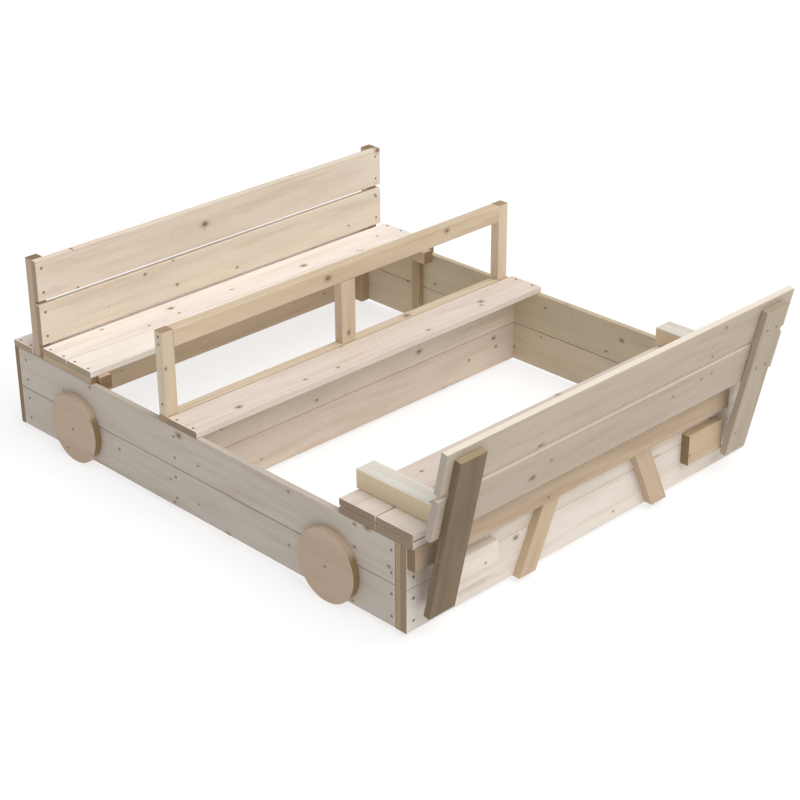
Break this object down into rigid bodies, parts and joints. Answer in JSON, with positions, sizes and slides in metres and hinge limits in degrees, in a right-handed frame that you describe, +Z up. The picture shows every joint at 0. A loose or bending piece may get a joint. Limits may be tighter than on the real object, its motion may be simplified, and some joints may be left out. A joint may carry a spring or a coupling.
{
  "type": "car-shaped wooden sandpit",
  "caption": "Low open box of softwood boards shaped like a car, with disc wheels, a windscreen frame, a rear bench with a backrest and a front bench that folds over the sand.",
  "frame": {"origin": "bottom centre of the whole car's bounding box with the front bench open, on the ground", "axes": "+X to the front of the car (headlights), +Y to its left side, +Z up"},
  "size_m": [1.6434, 1.312, 0.525],
  "materials": {
    "wall_wood": "planed, untreated",
    "seat_wood": "planed, untreated",
    "batten_wood": "planed, untreated",
    "post_wood": "planed, untreated",
    "disc_wood": "sawn, untreated",
    "fitting_steel": "zinc plated"
  },
  "bodies": {
    "car": {"centre_plank": "seat_wood", "corner_post_front_left": "batten_wood", "corner_post_front_right": "batten_wood", "corner_post_rear_left": "batten_wood", "corner_post_rear_right": "batten_wood", "divider_lower": "wall_wood", "divider_upper": "wall_wood", "front_fixed_board_inner": "seat_wood", "front_fixed_board_outer": "seat_wood", "front_top_batten": "batten_wood", "front_wall_lower": "wall_wood", "front_wall_upper": "wall_wood", "grille_bar_left": "batten_wood", "grille_bar_right": "batten_wood", "headlight_left": "batten_wood", "headlight_right": "batten_wood", "left_wall_lower": "wall_wood", "left_wall_upper": "wall_wood", "rear_rim_board": "seat_wood", "rear_seat_batten_left": "batten_wood", "rear_seat_batten_right": "batten_wood", "rear_seat_board_back": "seat_wood", "rear_seat_board_front": "seat_wood", "rear_seat_spacer_left": "seat_wood", "rear_seat_spacer_right": "seat_wood", "rear_wall_lower": "wall_wood", "rear_wall_upper": "wall_wood", "right_wall_lower": "wall_wood", "right_wall_upper": "wall_wood", "seat_hinge_fixed_left": "fitting_steel", "seat_hinge_fixed_right": "fitting_steel", "wall_batten_left": "batten_wood", "wall_batten_right": "batten_wood", "wheel_front_left": "disc_wood", "wheel_front_right": "disc_wood", "wheel_rear_left": "disc_wood", "wheel_rear_right": "disc_wood", "windscreen_post_left": "batten_wood", "windscreen_post_middle": "batten_wood", "windscreen_post_right": "batten_wood", "windscreen_rail": "batten_wood", "windscreen_sill": "batten_wood"},
    "front_seat": {"front_seat_block_left": "batten_wood", "front_seat_block_right": "batten_wood", "front_seat_board_inner": "seat_wood", "front_seat_board_outer": "seat_wood", "pivot_bolt_left": "fitting_steel", "pivot_bolt_right": "fitting_steel", "seat_hinge_moving_left": "fitting_steel", "seat_hinge_moving_right": "fitting_steel"},
    "front_backrest": {"front_backrest_post_left": "post_wood", "front_backrest_post_right": "post_wood", "front_backrest_slat_lower": "wall_wood", "front_backrest_slat_upper": "wall_wood", "pivot_plate_left": "fitting_steel", "pivot_plate_right": "fitting_steel"},
    "rear_backrest": {"rear_backrest_batten_left": "batten_wood", "rear_backrest_batten_right": "batten_wood", "rear_backrest_board_lower": "wall_wood", "rear_backrest_board_upper": "wall_wood"}
  },
  "joints": [
    {"name": "front_seat_fold", "type": "hinge", "parent": "car", "child": "front_seat", "pos_m": [0.46226, 0, 0.2639], "axis": [0, -1, 0], "range_deg": [0, 180]},
    {"name": "front_backrest_tilt", "type": "hinge", "parent": "front_seat", "child": "front_backrest", "pos_m": [0.72076, 0, 0.3037], "axis": [0, 1, 0], "range_deg": [0, 77.7]},
    {"name": "rear_backrest_lift", "type": "slide", "parent": "car", "child": "rear_backrest", "axis": [0, 0, 1], "range_m": [0, 0.04]}
  ],
  "couplings": [
    {"joint": "front_backrest_tilt", "follows": "front_seat_fold", "ratio": 0.4316}
  ]
}
